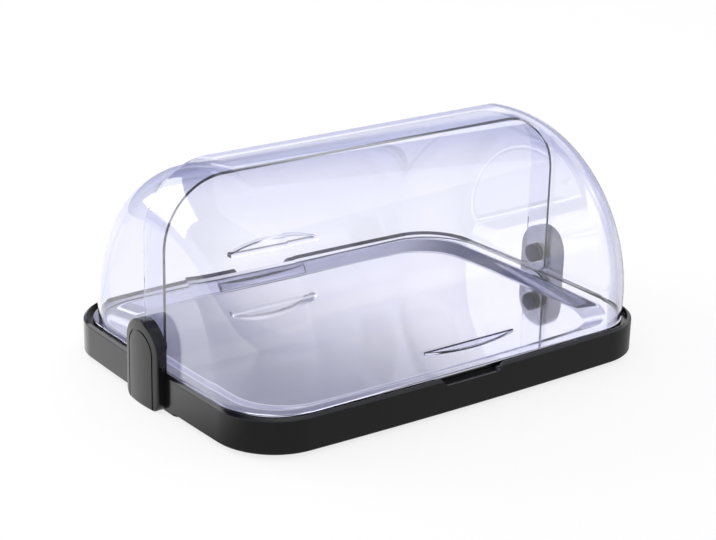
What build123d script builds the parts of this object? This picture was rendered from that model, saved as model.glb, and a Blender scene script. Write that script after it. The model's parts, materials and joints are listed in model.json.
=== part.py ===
"""Countertop roll-top food display: a black moulded base with a stainless steel tray, two nested
clear covers that roll over each other about one axis, and the brackets and pins that carry them.

Units are millimetres. X runs along the long side, -Y is the front, +Z is up. The origin lies on the
table, in the middle of the base.
"""
import math
import os

from build123d import *

# Base, measured at the middle of each side
base_length = 440.0
base_width = 322.0
long_side_bow = 5.0
short_side_bow = 3.7
base_corner_radius = 56.0
foot_height = 3.5
base_top_height = 32.7
base_floor_thickness = 2.5
base_wall = 3.0
rim_channel_width = 6.0
rim_roof_thickness = 5.2
lip_width = 3.4
lip_ridge_width = 0.8
lip_ridge_rise = 2.0
lip_ridge_round = 0.35
drip_groove_width = 6.2
drip_groove_depth = 2.4
base_top_round = 1.5
base_bottom_bevel = 1.2

# Finger notches in the lip, front and rear
notch_top_length = 64.0
notch_bottom_length = 56.0
notch_depth = 4.5
notch_backing = 38.0

# Rubber feet
foot_radius = 16.0
foot_recess = 1.5
foot_edge_bevel = 1.2
foot_end_inset = 28.0
foot_side_inset = 43.0

# Tray
tray_sheet = 0.8
tray_edge_clearance = 0.3
tray_hem_height = 1.6
basin_top_inset = 19.8
basin_top_radius = 44.0
basin_floor_inset = 33.5
basin_floor_radius = 50.0
basin_depth = 7.0
basin_top_round = 6.0
basin_floor_round = 8.0

# Thermal packs under the tray
pack_length = 226.0
pack_width = 166.0
pack_corner_radius = 14.0
pack_edge_round = 4.0
pack_gap = 12.0
pack_headroom = 0.7
pack_notch_length = 40.0
pack_notch_depth = 20.0
pack_neck_radius = 6.0
pack_neck_length = 7.0
pack_cap_radius = 7.6
pack_cap_length = 9.0
pack_cap_ribs = 12
pack_cap_rib_size = 1.2
pack_groove_width = 10.0
pack_groove_depth = 2.0
pack_groove_pitch = 46.0
pack_groove_margin = 26.0
pack_clearance = 0.8
locator_thickness = 2.0
locator_height = 7.0
locator_length = 36.0
locator_corner_inset = 40.0

# Covers
pivot_height = 51.5
cover_wall = 2.5
cover_floor_gap = 0.4
cover_side_inset = 8.0
cover_end_inset = 5.1
cover_end_radius = 62.0
cover_end_radius_step = 3.5
roll_gap = 5.5
panel_gap = 0.8
cover_overlap = 14.0

# Lip on the front cover
lip_rise = 7.0
lip_length = 96.0
lip_reach = 7.8
lip_end_reach = 1.5
lip_thickness = 3.0
lip_slope = 12.0
lip_root = 5.0
lip_tip_round = 0.8

# Finger scoop pressed into the rear cover
scoop_sill_rise = 6.0
scoop_length = 96.0
scoop_crest_rise = 8.0
scoop_depth = 7.0

# Pivots
pin_radius = 4.0
pin_running_clearance = 0.05
pin_head_radius = 8.6
pin_head_thickness = 3.0
pin_head_crown = 1.4
pin_slot_width = 1.6
pin_slot_depth = 1.2
washer_radius = 7.6
head_washer_thickness = 0.8
middle_washer_thickness = 0.6
spacer_radius = 9.0
axial_clearance = 0.1
nut_across_flats = 10.0
nut_thickness = 2.8

# Brackets
bracket_width = 51.0
bracket_crest = 25.5
bracket_seat_depth = 2.6
bracket_body_thickness = 5.0
bracket_side_depth = 4.1
bracket_crown = 2.5
bracket_corner_radius = 8.0
bracket_table_gap = 0.5
bracket_edge_round = 2.0
bracket_fit = 0.2
cap_wall = 2.2
cap_pocket_depth = 3.4
cap_groove_inset = 6.2
cap_groove_top_inset = 8.6
cap_groove_width = 1.6
cap_groove_depth = 0.8
cap_peg_radius = 2.0
cap_peg_length = 2.5
cap_peg_height = 24.0
cap_peg_clearance = 0.1
flange_half_width = 42.0
flange_reach = 24.0
flange_corner_radius = 8.0
screw_radius = 1.8
screw_length = 15.0
screw_head_radius = 3.6
screw_head_height = 2.2
screw_head_recess = 0.3
screw_spacing = 36.0
screw_inset = 9.0

# Helpers for cuts and for finding edges
cut_margin = 1.0
level_tolerance = 0.01

# Worked out from the sizes above
beyond = 2.0 * base_length
base_floor_top = foot_height + base_floor_thickness
cavity_inset = base_wall + rim_channel_width + base_wall
lip_ridge_height = base_top_height + lip_ridge_rise
shelf_inset = lip_width + drip_groove_width
tray_edge_inset = shelf_inset - tray_sheet - tray_edge_clearance
tray_rim_height = base_top_height + tray_sheet
tray_floor_height = tray_rim_height - basin_depth
cover_bottom_height = tray_rim_height + cover_floor_gap
ear_radius = pivot_height - cover_bottom_height
front_cover_radius = base_width / 2 - cover_side_inset
front_cover_half_length = base_length / 2 - cover_end_inset
rear_cover_radius = front_cover_radius - cover_wall - roll_gap
rear_cover_half_length = front_cover_half_length - cover_wall - panel_gap
rear_cover_end_radius = cover_end_radius - cover_end_radius_step
lip_height = pivot_height + lip_rise
scoop_sill_height = pivot_height + scoop_sill_rise
foot_x = base_length / 2 - foot_end_inset
foot_y = base_width / 2 - foot_side_inset
bracket_inner_x = base_length / 2 - bracket_seat_depth
bracket_outer_x = bracket_inner_x + bracket_body_thickness
bracket_top_height = pivot_height + bracket_crest
bracket_half_width = bracket_width / 2
bracket_bottom_height = bracket_table_gap
pack_thickness = tray_floor_height - tray_sheet - pack_headroom - base_floor_top
pack_centre_x = (pack_width + pack_gap) / 2
front = -1
rear = 1
ends = {"left": -1, "right": 1}

os.makedirs("parts", exist_ok=True)


def write(node, shape):
    """Writes one named piece."""
    shape.label = node
    export_step(shape, f"parts/{node}.step")


def bowed_plan(inset, corner_radius):
    """Plan of the base, drawn in by an inset: four gently bowed sides with rounded corners."""
    x = base_length / 2 - short_side_bow - inset
    y = base_width / 2 - long_side_bow - inset
    crown_x = base_length / 2 - inset
    crown_y = base_width / 2 - inset
    edges = Wire([
        ThreePointArc((-x, -y), (0, -crown_y), (x, -y)),
        ThreePointArc((x, -y), (crown_x, 0), (x, y)),
        ThreePointArc((x, y), (0, crown_y), (-x, y)),
        ThreePointArc((-x, y), (-crown_x, 0), (-x, -y)),
    ])
    face = Face(edges)
    return fillet(face.vertices(), corner_radius)


def base_plan(inset):
    """Plan of the base at an inset, with its corner arcs kept concentric."""
    return bowed_plan(inset, base_corner_radius - inset)


def slab(plan, low, high):
    """A plan raised from one height to another."""
    return extrude(Pos(0, 0, low) * plan, amount=high - low)


def edges_at(shape, height):
    """The edges of a shape that lie flat at one height."""
    level = []
    for edge in shape.edges():
        box = edge.bounding_box()
        if max(abs(box.min.Z - height), abs(box.max.Z - height)) < level_tolerance:
            level.append(edge)
    return level


def on_end(side, shape):
    """A shape drawn for the right end, or its mirror image for the left end."""
    return shape if side > 0 else mirror(shape, about=Plane.YZ)


def end_cylinder(radius, x_low, x_high, y=0.0, z=pivot_height):
    """A round bar along X between two distances from the middle, on the right end."""
    bar = Cylinder(radius, x_high - x_low, rotation=(0, 90, 0))
    return Pos((x_low + x_high) / 2, y, z) * bar


def tongue(half_width, top, bottom, corner_radius, x_low, x_high):
    """The round-topped outline of a bracket, as thick as the two distances from the middle."""
    arch_centre = top - half_width
    outline = Wire([
        Line((-half_width, bottom), (half_width, bottom)),
        Line((half_width, bottom), (half_width, arch_centre)),
        ThreePointArc((half_width, arch_centre), (0, top), (-half_width, arch_centre)),
        Line((-half_width, arch_centre), (-half_width, bottom)),
    ])
    face = Face(outline)
    if corner_radius > 0:
        low = [v for v in face.vertices() if abs(v.Y - bottom) < level_tolerance]
        face = fillet(low, corner_radius)
    standing = Plane(origin=(x_low, 0, 0), x_dir=(0, 1, 0), z_dir=(1, 0, 0))
    return extrude(standing * face, amount=x_high - x_low)


def notch_cutter(side):
    """A finger notch with sloping ends, cut down through the lip as far as the drip groove."""
    half_top = notch_top_length / 2
    half_bottom = notch_bottom_length / 2
    slope = (half_top - half_bottom) / notch_depth
    rise = lip_ridge_rise + cut_margin
    outline = Polyline(
        (-half_bottom, -notch_depth),
        (half_bottom, -notch_depth),
        (half_top + slope * rise, rise),
        (-half_top - slope * rise, rise),
        close=True,
    )
    face = make_face(Plane.XZ * outline)
    reach = base_wall + lip_width + drip_groove_width / 2
    outer_y = side * (base_width / 2 + base_wall)
    cutter = extrude(face, amount=reach, dir=(0, -side, 0))
    return Pos(0, outer_y, base_top_height) * cutter


def foot_spots():
    """Name and place of each rubber foot."""
    for front_name, y in (("front", -foot_y), ("rear", foot_y)):
        for end_name, side in ends.items():
            yield f"foot_{front_name}_{end_name}", side * foot_x, y


def locator_ribs():
    """Low ribs on the base floor that keep the two packs in place."""
    ribs = []
    side_x = pack_centre_x + pack_width / 2 + pack_clearance + locator_thickness / 2
    side_y = pack_length / 2 - locator_corner_inset
    end_x = pack_centre_x + pack_width / 2 - locator_corner_inset
    end_y = pack_length / 2 + pack_clearance + locator_thickness / 2
    middle = base_floor_top + locator_height / 2
    ribs.append(Pos(0, 0, middle) * Box(locator_thickness, pack_length / 2, locator_height))
    for side in ends.values():
        for y in (-side_y, side_y):
            rib = Box(locator_thickness, locator_length, locator_height)
            ribs.append(Pos(side * side_x, y, middle) * rib)
        for y in (-end_y, end_y):
            rib = Box(locator_length, locator_thickness, locator_height)
            ribs.append(Pos(side * end_x, y, middle) * rib)
    return ribs


def rim_channel():
    """The hollow under the rim, left solid behind the notches and between the bracket screws."""
    low = foot_height
    high = base_top_height - rim_roof_thickness
    channel = slab(base_plan(base_wall), low, high)
    channel -= slab(base_plan(base_wall + rim_channel_width), low, high)
    keep_ends = Box(beyond, 2 * notch_backing, high + low)
    keep_sides = Box(2 * notch_backing, beyond, high + low)
    return channel - Pos(0, 0, (high + low) / 2) * keep_ends - Pos(0, 0, (high + low) / 2) * keep_sides


def screw_spots():
    """Distances from the middle of each bracket screw, on the right end."""
    x = bracket_inner_x - screw_inset
    return [(x, -screw_spacing / 2), (x, screw_spacing / 2)]


def base_outside():
    """The filled outside of the base: bowed walls, and a lip that slopes up to a narrow ridge."""
    walls = slab(base_plan(0), foot_height, base_top_height)
    slope_foot = Pos(0, 0, base_top_height) * base_plan(0)
    slope_top = Pos(0, 0, lip_ridge_height) * base_plan(lip_width - lip_ridge_width)
    body = walls + loft([slope_foot, slope_top], ruled=True)
    body = fillet(edges_at(body, base_top_height), base_top_round)
    body = fillet(edges_at(body, lip_ridge_height), lip_ridge_round)
    return chamfer(edges_at(body, foot_height), base_bottom_bevel)


def rim_cutter():
    """What is cut away inside the ridge: a drip groove, with a shelf behind it for the tray."""
    top = lip_ridge_height + cut_margin
    groove = slab(base_plan(lip_width), base_top_height - drip_groove_depth, top)
    shelf = slab(base_plan(shelf_inset), base_top_height - 2 * drip_groove_depth, base_top_height)
    return groove - shelf


def make_base():
    """The moulded base: bowed walls, a lip with two notches, a bay for the packs, and pockets for the
    brackets and feet."""
    body = base_outside()
    body -= rim_cutter()
    body -= slab(base_plan(cavity_inset), base_floor_top, lip_ridge_height)
    body -= rim_channel()
    for side in (front, rear):
        body -= notch_cutter(side)
    for rib in locator_ribs():
        body += rib
    for _, x, y in foot_spots():
        body -= Pos(x, y, foot_height) * Cylinder(foot_radius + bracket_fit, 2 * foot_recess)
    pocket = tongue(
        bracket_half_width + bracket_fit,
        bracket_top_height + bracket_fit,
        -foot_height,
        0,
        bracket_inner_x,
        bracket_outer_x + bracket_side_depth,
    )
    holes = [
        Pos(x, y, foot_height) * Cylinder(screw_radius, 2 * (screw_length - foot_height))
        for x, y in screw_spots()
    ]
    for side in ends.values():
        body -= on_end(side, pocket)
        for hole in holes:
            body -= on_end(side, hole)
    return body


def make_foot(x, y):
    """A rubber foot, a plain disc with a bevelled tread edge, seated in its recess."""
    height = foot_height + foot_recess
    disc = Pos(x, y, height / 2) * Cylinder(foot_radius, height)
    return chamfer(edges_at(disc, 0), foot_edge_bevel)


def basin_solid(top_height, floor_height, grow):
    """The filled basin between its rim opening and its floor, grown sideways by a little."""
    top = Pos(0, 0, top_height) * bowed_plan(basin_top_inset - grow, basin_top_radius)
    floor = Pos(0, 0, floor_height) * bowed_plan(basin_floor_inset - grow, basin_floor_radius)
    return loft([floor, top], ruled=True)


def make_tray():
    """The pressed tray: a broad flat rim, a sloping wall, a flat floor and a turned-down edge."""
    wall_run = basin_floor_inset - basin_top_inset
    slope = math.atan2(basin_depth, wall_run)
    side_shift = tray_sheet / math.sin(slope) - tray_sheet / math.tan(slope)
    rim = slab(base_plan(tray_edge_inset), tray_rim_height - tray_sheet, tray_rim_height)
    hem = slab(base_plan(tray_edge_inset), tray_rim_height - tray_hem_height, tray_rim_height)
    hem -= slab(
        base_plan(tray_edge_inset + tray_sheet),
        tray_rim_height - 2 * tray_hem_height,
        tray_rim_height + tray_hem_height,
    )
    under = basin_solid(tray_rim_height - tray_sheet, tray_floor_height - tray_sheet, side_shift)
    tray = rim + hem + under - basin_solid(tray_rim_height, tray_floor_height, 0)
    rim_edges = []
    for edge in edges_at(tray, tray_rim_height):
        if is_basin_edge(edge):
            rim_edges.append(edge)
    tray = fillet(rim_edges, basin_top_round)
    tray = fillet(edges_at(tray, tray_floor_height), basin_floor_round)
    return tray


def is_basin_edge(edge):
    """Whether a rim edge belongs to the basin's opening and not to the tray's outline."""
    middle = edge.position_at(0.5)
    limit = (tray_edge_inset + basin_top_inset) / 2
    inside = base_plan(limit)
    return inside.is_inside(Vector(middle.X, middle.Y, 0))


def make_pack(side):
    """A blow-moulded thermal pack with a grooved face and a notch for its filler neck."""
    x = side * pack_centre_x
    middle = base_floor_top + pack_thickness / 2
    plan = RectangleRounded(pack_width, pack_length, pack_corner_radius)
    pack = slab(Pos(x, 0, 0) * plan, base_floor_top, base_floor_top + pack_thickness)
    pack = fillet(edges_at(pack, base_floor_top + pack_thickness), pack_edge_round)
    pack = chamfer(edges_at(pack, base_floor_top), pack_edge_round)
    notch = Box(pack_notch_length, 2 * pack_notch_depth, 2 * pack_thickness)
    pack -= Pos(x, -pack_length / 2, middle) * notch
    top = base_floor_top + pack_thickness
    groove_length = pack_length - pack_notch_depth - 2 * pack_groove_margin
    for i in (-1, 0, 1):
        spot = Pos(x + i * pack_groove_pitch, pack_notch_depth / 2, top)
        pack -= spot * Box(pack_groove_width, groove_length, 2 * pack_groove_depth)
    neck_y = -pack_length / 2 + pack_notch_depth - pack_neck_length / 2
    pack += Pos(x, neck_y, middle) * Cylinder(pack_neck_radius, pack_neck_length, rotation=(90, 0, 0))
    return pack


def make_pack_cap(side):
    """The ribbed screw cap on a pack's filler neck."""
    x = side * pack_centre_x
    middle = base_floor_top + pack_thickness / 2
    face_y = -pack_length / 2 + pack_notch_depth - pack_neck_length
    centre = Pos(x, face_y - pack_cap_length / 2, middle)
    cap = centre * Cylinder(pack_cap_radius, pack_cap_length, rotation=(90, 0, 0))
    for n in range(pack_cap_ribs):
        turn = 360.0 * n / pack_cap_ribs
        rib = Pos(pack_cap_radius, 0, 0) * Box(pack_cap_rib_size, pack_cap_rib_size, pack_cap_length)
        cap += centre * Rot(90, 0, 0) * Rot(0, 0, turn) * rib
    return cap


def roll_solid(radius, half_length, end_radius):
    """The filled shape that a cover rolls through: a barrel about the pivot axis with round ends."""
    x = half_length
    shoulder = radius - end_radius
    run = half_length - end_radius
    bend = end_radius * math.sqrt(0.5)
    outline = Wire([
        Line((-x, 0), (-x, shoulder)),
        ThreePointArc((-x, shoulder), (-run - bend, shoulder + bend), (-run, radius)),
        Line((-run, radius), (run, radius)),
        ThreePointArc((run, radius), (run + bend, shoulder + bend), (x, shoulder)),
        Line((x, shoulder), (x, 0)),
        Line((x, 0), (-x, 0)),
    ])
    barrel = revolve(Plane.XZ * Face(outline), axis=Axis.X, revolution_arc=360)
    return Pos(0, 0, pivot_height) * barrel


def cover_region(side):
    """Everything on a cover's side of its overlap edge and above its rim, with a round ear left
    about the pivot."""
    depth = front_cover_radius + lip_root + cover_overlap
    top = pivot_height + front_cover_radius + lip_root
    low = cover_bottom_height
    middle_y = side * (depth / 2 - cover_overlap)
    region = Pos(0, middle_y, (low + top) / 2) * Box(beyond, depth, top - low)
    corner = Box(beyond, cover_overlap + cover_wall, ear_radius + cover_wall)
    corner_y = -side * (cover_overlap + cover_wall) / 2
    corner_z = pivot_height - (ear_radius + cover_wall) / 2
    ear = Pos(0, 0, pivot_height) * Cylinder(ear_radius, 2 * beyond, rotation=(0, 90, 0))
    return region - (Pos(0, corner_y, corner_z) * corner - ear)


def pivot_bore():
    """The running hole for both pivot pins, right through both end panels of a cover."""
    bore = Cylinder(pin_radius + pin_running_clearance, beyond, rotation=(0, 90, 0))
    return Pos(0, 0, pivot_height) * bore


def front_lip():
    """A crescent ledge with blunt ends and a rounded edge, which leans down a little."""
    half = lip_length / 2
    crescent = Wire([
        ThreePointArc((-half, -lip_end_reach), (0, -lip_reach), (half, -lip_end_reach)),
        Line((half, -lip_end_reach), (half, lip_root)),
        Line((half, lip_root), (-half, lip_root)),
        Line((-half, lip_root), (-half, -lip_end_reach)),
    ])
    ledge = extrude(Face(crescent), amount=lip_thickness / 2, both=True)
    tip = [e for e in ledge.edges() if e.position_at(0.5).Y < -lip_reach / 2 and e.length > half]
    ledge = fillet(tip, lip_tip_round)
    drop = lip_height - pivot_height
    wall_y = math.sqrt(front_cover_radius**2 - drop**2)
    return Pos(0, -wall_y, lip_height) * Rot(lip_slope, 0, 0) * ledge


def make_front_cover():
    """The outer clear cover with its crescent lip."""
    outer = roll_solid(front_cover_radius, front_cover_half_length, cover_end_radius)
    inner = roll_solid(
        front_cover_radius - cover_wall,
        front_cover_half_length - cover_wall,
        cover_end_radius - cover_wall,
    )
    shell = (outer + front_lip() - inner) & cover_region(front)
    return shell - pivot_bore()


def scoop_prism(grow, y_low, y_high):
    """The arched outline of the finger scoop between two depths, grown by a wall."""
    half = scoop_length / 2 + grow
    sill = scoop_sill_height - grow
    crest = scoop_sill_height + scoop_crest_rise + grow
    shoulder = sill + cover_wall / 2 + grow
    outline = Wire([
        Line((-half, sill), (half, sill)),
        Line((half, sill), (half, shoulder)),
        ThreePointArc((half, shoulder), (0, crest), (-half, shoulder)),
        Line((-half, shoulder), (-half, sill)),
    ])
    standing = Plane(origin=(0, y_low, 0), x_dir=(-1, 0, 0), z_dir=(0, 1, 0))
    return extrude(standing * Face(outline), amount=y_high - y_low)


def make_rear_cover():
    """The inner clear cover with its finger scoop."""
    outer = roll_solid(rear_cover_radius, rear_cover_half_length, rear_cover_end_radius)
    inner = roll_solid(
        rear_cover_radius - cover_wall,
        rear_cover_half_length - cover_wall,
        rear_cover_end_radius - cover_wall,
    )
    scoop_back = rear_cover_radius - scoop_depth
    outside = rear_cover_radius + scoop_depth
    pressed_wall = scoop_prism(cover_wall, scoop_back - cover_wall, outside) & outer
    shell = (outer - inner + pressed_wall) & cover_region(rear)
    shell -= scoop_prism(0, scoop_back, outside)
    return shell - pivot_bore()


def make_bracket_body(side):
    """The inner half of a bracket: an upright against the base wall, with a flange beneath it."""
    upright = tongue(
        bracket_half_width,
        bracket_top_height,
        bracket_bottom_height,
        bracket_corner_radius,
        bracket_inner_x,
        bracket_outer_x,
    )
    flange_plan = Rectangle(flange_reach, 2 * flange_half_width)
    flange_plan = fillet(flange_plan.vertices(), flange_corner_radius)
    flange_x = bracket_inner_x - flange_reach / 2 + bracket_fit
    flange = slab(Pos(flange_x, 0, 0) * flange_plan, bracket_bottom_height, foot_height)
    web = Pos(bracket_inner_x, 0, (bracket_bottom_height + foot_height) / 2) * Box(
        bracket_body_thickness, bracket_width - 2 * bracket_corner_radius, foot_height - bracket_bottom_height
    )
    body = upright + flange + web
    body -= end_cylinder(pin_radius, bracket_inner_x - cut_margin, bracket_outer_x + cut_margin)
    for y in (-cap_peg_height / 2, cap_peg_height / 2):
        body -= end_cylinder(
            cap_peg_radius + cap_peg_clearance,
            bracket_outer_x - cap_peg_length - cap_peg_clearance,
            bracket_outer_x + cut_margin,
            y,
            cap_peg_height,
        )
    for x, y in screw_spots():
        body -= Pos(x, y, foot_height / 2) * Cylinder(screw_radius, 2 * foot_height)
        head = Cylinder(screw_head_radius, 2 * (screw_head_recess + screw_head_height))
        body -= Pos(x, y, bracket_bottom_height) * head
    return on_end(side, body)


def crowned_bar(shrink):
    """An upright bar whose outer side carries the slight crown of a bracket cap."""
    crown_radius = (bracket_half_width**2 + bracket_crown**2) / (2 * bracket_crown)
    crest_x = bracket_outer_x + bracket_side_depth + bracket_crown
    bar = Cylinder(crown_radius - shrink, 2 * bracket_top_height)
    return Pos(crest_x - crown_radius, 0, bracket_top_height / 2) * bar


def make_bracket_cap(side):
    """The outer half of a bracket: a crowned shell with a grooved, round-topped panel."""
    far_x = bracket_outer_x + 2 * bracket_side_depth
    block = tongue(
        bracket_half_width,
        bracket_top_height,
        bracket_bottom_height,
        bracket_corner_radius,
        bracket_outer_x,
        far_x,
    )
    cap = block & crowned_bar(0)
    outer_edges = [e for e in cap.edges() if e.bounding_box().min.X > bracket_outer_x + cut_margin]
    cap = fillet(outer_edges, bracket_edge_round)
    pocket = tongue(
        bracket_half_width - cap_wall,
        bracket_top_height - cap_wall,
        bracket_bottom_height + cap_wall,
        bracket_corner_radius - cap_wall,
        bracket_outer_x - cut_margin,
        bracket_outer_x + cap_pocket_depth,
    )
    cap -= pocket
    groove_half = bracket_half_width - cap_groove_inset
    groove_top = bracket_top_height - cap_groove_top_inset
    band = tongue(groove_half, groove_top, -foot_height, 0, bracket_outer_x, far_x)
    band -= tongue(
        groove_half - cap_groove_width,
        groove_top - cap_groove_width,
        -2 * foot_height,
        0,
        bracket_outer_x - cut_margin,
        far_x + cut_margin,
    )
    cap -= band - crowned_bar(cap_groove_depth)
    for y in (-cap_peg_height / 2, cap_peg_height / 2):
        cap += end_cylinder(
            cap_peg_radius,
            bracket_outer_x - cap_peg_length,
            bracket_outer_x + cap_pocket_depth,
            y,
            cap_peg_height,
        )
    return on_end(side, cap)


def pin_face_x():
    """Where the pin head's flat side lies: just inside the head washer."""
    panel_inner_x = rear_cover_half_length - cover_wall
    return panel_inner_x - 2 * axial_clearance - head_washer_thickness


def make_pin(side):
    """A shouldered pivot pin with a crowned, slotted head inside the covers."""
    head_x = pin_face_x()
    shank = end_cylinder(pin_radius, head_x, bracket_outer_x + nut_thickness)
    head = end_cylinder(pin_head_radius, head_x - pin_head_thickness, head_x)
    crown_radius = (pin_head_radius**2 + pin_head_crown**2) / (2 * pin_head_crown)
    dome_x = head_x - pin_head_thickness + crown_radius - pin_head_crown
    ball = Pos(dome_x, 0, pivot_height) * Sphere(crown_radius)
    dome = ball & end_cylinder(pin_head_radius, head_x - 2 * pin_head_thickness, head_x - pin_head_thickness)
    pin = shank + head + dome
    tip_x = head_x - pin_head_thickness - pin_head_crown
    slot = Box(2 * pin_slot_depth, 2 * pin_head_radius, pin_slot_width)
    pin -= Pos(tip_x, 0, pivot_height) * slot
    return on_end(side, pin)


def washer(radius, x_low, x_high):
    """A washer on the right-hand pin between two distances from the middle."""
    hole_radius = pin_radius + pin_running_clearance
    hole = end_cylinder(hole_radius, x_low - cut_margin, x_high + cut_margin)
    return end_cylinder(radius, x_low, x_high) - hole


def make_head_washer(side):
    """The washer between the pin head and the rear cover."""
    low = pin_face_x() + axial_clearance / 2
    return on_end(side, washer(washer_radius, low, low + head_washer_thickness))


def make_middle_washer(side):
    """The thin washer that keeps the two covers apart."""
    low = rear_cover_half_length + (panel_gap - middle_washer_thickness) / 2
    return on_end(side, washer(washer_radius, low, low + middle_washer_thickness))


def make_spacer(side):
    """The spacer between the front cover and the bracket."""
    low = front_cover_half_length + axial_clearance
    return on_end(side, washer(spacer_radius, low, bracket_inner_x))


def make_nut(side):
    """The hexagonal nut behind the bracket cap."""
    hexagon = RegularPolygon(nut_across_flats / 2, 6, major_radius=False)
    standing = Plane(origin=(bracket_outer_x, 0, pivot_height), x_dir=(0, 1, 0), z_dir=(1, 0, 0))
    nut = extrude(standing * hexagon, amount=nut_thickness)
    far_x = bracket_outer_x + nut_thickness + cut_margin
    nut -= end_cylinder(pin_radius, bracket_outer_x - cut_margin, far_x)
    return on_end(side, nut)


def make_screws(side):
    """The two screws that hold a bracket's flange up against the base."""
    screws = []
    head_low = bracket_bottom_height + screw_head_recess
    for x, y in screw_spots():
        shank_low = head_low + screw_head_height
        shank = Pos(x, y, (shank_low + screw_length) / 2) * Cylinder(screw_radius, screw_length - shank_low)
        head = Pos(x, y, head_low + screw_head_height / 2) * Cylinder(screw_head_radius, screw_head_height)
        screws.append(on_end(side, shank + head))
    return Compound(children=screws)


def main():
    """Makes and writes every piece."""
    write("base_shell", make_base())
    for node, x, y in foot_spots():
        write(node, make_foot(x, y))
    write("tray", make_tray())
    write("front_cover", make_front_cover())
    write("rear_cover", make_rear_cover())
    makers = {
        "thermal_pack": make_pack,
        "pack_cap": make_pack_cap,
        "bracket_body": make_bracket_body,
        "bracket_cap": make_bracket_cap,
        "pivot_pin": make_pin,
        "head_washer": make_head_washer,
        "middle_washer": make_middle_washer,
        "pivot_spacer": make_spacer,
        "pivot_nut": make_nut,
        "bracket_screws": make_screws,
    }
    for name, maker in makers.items():
        for end_name, side in ends.items():
            write(f"{name}_{end_name}", maker(side))


main()
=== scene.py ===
"""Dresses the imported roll-top food display: clear covers over a polished steel tray in a black base.

Every size is named in millimetres and turned to metres by mm(), and every angle is named in degrees. The
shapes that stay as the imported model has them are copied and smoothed; the covers and the tray are made anew,
by rule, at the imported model's own sizes.
"""

from __future__ import annotations

import json
import logging
import math
from dataclasses import dataclass, field
from enum import Enum

import bmesh
import bpy
from bpy.types import ID, Material, Mesh, Node, NodeOutputs, NodeSocket, NodeTree, Object, World
from mathutils import Matrix, Vector

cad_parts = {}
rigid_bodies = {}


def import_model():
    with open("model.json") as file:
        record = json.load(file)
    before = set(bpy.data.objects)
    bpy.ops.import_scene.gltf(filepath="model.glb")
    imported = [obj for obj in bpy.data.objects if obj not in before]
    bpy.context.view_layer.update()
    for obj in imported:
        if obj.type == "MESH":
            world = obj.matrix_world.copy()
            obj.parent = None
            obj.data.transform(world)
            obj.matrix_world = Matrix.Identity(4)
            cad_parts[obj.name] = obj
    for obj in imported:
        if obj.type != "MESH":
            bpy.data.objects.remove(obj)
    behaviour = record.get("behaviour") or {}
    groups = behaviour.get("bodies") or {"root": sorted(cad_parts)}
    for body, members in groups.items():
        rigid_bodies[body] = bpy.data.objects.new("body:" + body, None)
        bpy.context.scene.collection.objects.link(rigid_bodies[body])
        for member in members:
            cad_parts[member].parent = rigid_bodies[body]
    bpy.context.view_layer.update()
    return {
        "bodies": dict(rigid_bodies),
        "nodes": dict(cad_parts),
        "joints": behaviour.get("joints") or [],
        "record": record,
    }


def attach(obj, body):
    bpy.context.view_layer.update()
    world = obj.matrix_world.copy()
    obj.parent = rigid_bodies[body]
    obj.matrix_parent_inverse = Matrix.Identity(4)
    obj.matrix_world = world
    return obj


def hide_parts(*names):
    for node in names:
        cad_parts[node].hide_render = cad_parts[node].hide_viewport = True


logging.basicConfig(level=logging.INFO, format="%(message)s")
log = logging.getLogger("roll_top_display")

PHOTO_WIDTH_PX = 716
PHOTO_HEIGHT_PX = 540

MM_PER_METRE = 1000.0
# Corners nearer than this, in millimetres, are one corner
MERGE_DISTANCE = 0.002
# A wall's thickness grows inwards from the skin that is drawn
INWARDS = -1.0

# The sRGB curve: a straight start up to the knee, and a power curve above it
SRGB_KNEE = 0.04045
SRGB_SLOPE = 12.92
SRGB_OFFSET = 0.055
SRGB_POWER = 2.4
WHITE = (1.0, 1.0, 1.0, 1.0)

# The kinds of node that come up most
MATH = "ShaderNodeMath"
MAP_RANGE = "ShaderNodeMapRange"
MIX = "ShaderNodeMix"

# Most of a noise pattern lies between these values
NOISE_LOW = 0.3
NOISE_HIGH = 0.7
# How many finer layers a fine and a broad pattern carry
FINE_DETAIL = 2.0
BROAD_DETAIL = 1.0


def mm(length: float) -> float:
    """Turns millimetres into metres."""
    return length / MM_PER_METRE


def linear(colour: str) -> tuple[float, float, float, float]:
    """Turns an sRGB hex colour into linear light.

    Args:
        colour: the colour as "#rrggbb".

    Returns:
        Red, green and blue, each from 0 to 1, and a full alpha.
    """
    parts = []
    for byte in bytes.fromhex(colour[1:]):
        value = byte / 255
        if value <= SRGB_KNEE:
            parts.append(value / SRGB_SLOPE)
        else:
            parts.append(((value + SRGB_OFFSET) / (1 + SRGB_OFFSET)) ** SRGB_POWER)
    return parts[0], parts[1], parts[2], 1.0


def spaced(first: float, last: float, steps: int) -> list[float]:
    """Even steps from one value to another, with both ends."""
    return [first + (last - first) * step / steps for step in range(steps + 1)]


def band(rings: int, count: int) -> list[tuple[int, ...]]:
    """Joins closed rings of corners, each to the next one, by four-sided faces.

    Args:
        rings: how many rings there are.
        count: how many corners each ring has.

    Returns:
        The faces as corner numbers.
    """
    faces = []
    for row in range(rings - 1):
        low = row * count
        high = low + count
        for column in range(count):
            following = (column + 1) % count
            faces.append((low + column, low + following, high + following, high + column))
    return faces


def put_in_scene(name: str, data: ID) -> Object:
    """Links a new object.

    Args:
        name: the object's name.
        data: the mesh, camera or light that it holds.

    Returns:
        The object, at the origin.
    """
    item = bpy.data.objects.new(name, data)
    bpy.context.scene.collection.objects.link(item)
    return item


def fresh_tree(owner: Material | World) -> NodeTree:
    """Clears the nodes of a material or of the surroundings.

    Args:
        owner: the material or the surroundings.

    Returns:
        Its empty node tree.
    """
    owner.use_nodes = True
    owner.node_tree.nodes.clear()
    return owner.node_tree


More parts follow.
